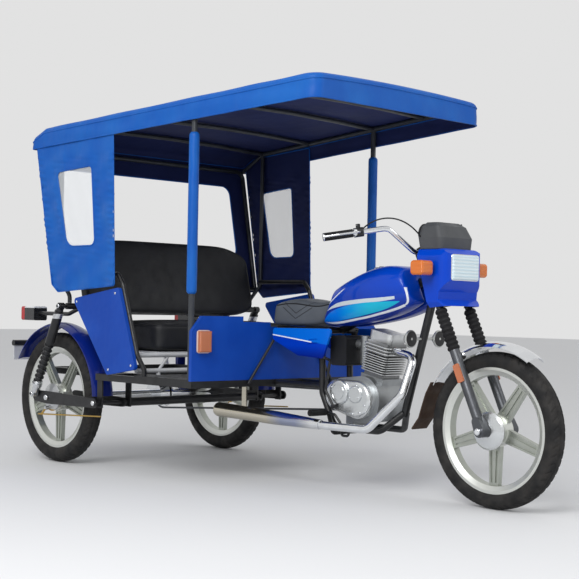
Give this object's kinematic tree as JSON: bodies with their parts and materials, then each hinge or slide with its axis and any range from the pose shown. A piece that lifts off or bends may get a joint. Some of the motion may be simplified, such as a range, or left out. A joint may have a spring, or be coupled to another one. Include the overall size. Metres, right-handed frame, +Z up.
{
  "type": "passenger tricycle",
  "caption": "Motorcycle-based passenger tricycle with an open canopied bench behind the driver seat, raked fork steering and spoked cast wheels.",
  "frame": {"origin": "on the ground, on the centre plane, midway between the rear bumper and the front tyre's leading edge", "axes": "+X forward, +Y to the driver's left, +Z up"},
  "size_m": [2.9205, 1.3442, 1.6938],
  "materials": {
    "tyre": "matte",
    "cast_wheel": "satin",
    "fork_alloy": "satin",
    "fork_steel": "satin",
    "rubber": "matte",
    "polished_alloy": "polished",
    "chrome": "mirror",
    "flap_rubber": "matte",
    "blue_gloss": "gloss",
    "blue_paint": "gloss",
    "lens": "clear",
    "amber": "gloss",
    "red": "gloss",
    "black_plastic": "satin",
    "black_paint": "satin",
    "engine_alloy": "satin",
    "chain_steel": "oiled",
    "leatherette": "matte",
    "white_paint": "gloss",
    "grey_tube": "satin",
    "blue_vinyl": "satin",
    "clear_film": "clear"
  },
  "bodies": {
    "chassis": {"bike_frame": "black_paint", "engine_case": "engine_alloy", "engine_cylinder": "engine_alloy", "engine_covers": "polished_alloy", "air_box": "black_plastic", "carburettor": "engine_alloy", "exhaust": "chrome", "fuel_tank": "blue_paint", "driver_seat": "leatherette", "side_covers": "blue_gloss", "horns": "black_plastic", "foot_pegs": "chrome", "foot_levers": "chrome", "chassis_rails": "black_paint", "floor_plate": "black_paint", "front_wall": "blue_vinyl", "wall_lamps": "amber", "bench_frame": "white_paint", "bench_cushion": "leatherette", "bench_back": "leatherette", "shock_tower": "black_paint", "tail_lamps": "red", "rear_bumper": "black_paint", "rear_fenders": "blue_paint", "swing_arm": "black_paint", "rear_axle": "fork_steel", "drive_chain": "chain_steel", "drive_sprocket": "chain_steel", "rear_shocks": "black_paint", "rear_brakes": "polished_alloy", "arm_hoops": "black_paint", "arm_panels": "blue_vinyl", "canopy_roof": "blue_vinyl", "cabin_frame": "grey_tube", "pole_sleeves": "blue_vinyl", "canopy_sides": "blue_vinyl", "side_windows": "clear_film", "canopy_back": "blue_vinyl"},
    "steering": {"fork_sliders": "fork_alloy", "fork_crown": "fork_steel", "fork_gaiters": "rubber", "front_axle": "fork_steel", "front_brake_plate": "polished_alloy", "front_fender": "chrome", "front_flap": "flap_rubber", "handlebar": "chrome", "grips": "rubber", "levers": "polished_alloy", "headlight_cowl": "blue_gloss", "headlight_lens": "lens", "turn_lamps": "amber", "instrument_hood": "black_plastic", "fork_reflectors": "amber"},
    "front_wheel": {"front_tyre": "tyre", "front_rim": "cast_wheel"},
    "rear_wheel_right": {"rear_tyre_right": "tyre", "rear_rim_right": "cast_wheel"},
    "rear_wheel_left": {"rear_tyre_left": "tyre", "rear_rim_left": "cast_wheel"}
  },
  "joints": [
    {"name": "steering_turn", "type": "hinge", "parent": "chassis", "child": "steering", "pos_m": [0.85002, 0, 0.86663], "axis": [-0.4226, 0, 0.9063], "range_deg": [-38, 38]},
    {"name": "front_wheel_spin", "type": "hinge", "parent": "steering", "child": "front_wheel", "pos_m": [1.15675, 0, 0.3035], "axis": [0, 1, 0], "continuous": true},
    {"name": "rear_wheel_right_spin", "type": "hinge", "parent": "chassis", "child": "rear_wheel_right", "pos_m": [-1.06025, -0.517, 0.311], "axis": [0, 1, 0], "continuous": true},
    {"name": "rear_wheel_left_spin", "type": "hinge", "parent": "chassis", "child": "rear_wheel_left", "pos_m": [-1.06025, 0.517, 0.311], "axis": [0, 1, 0], "continuous": true}
  ]
}
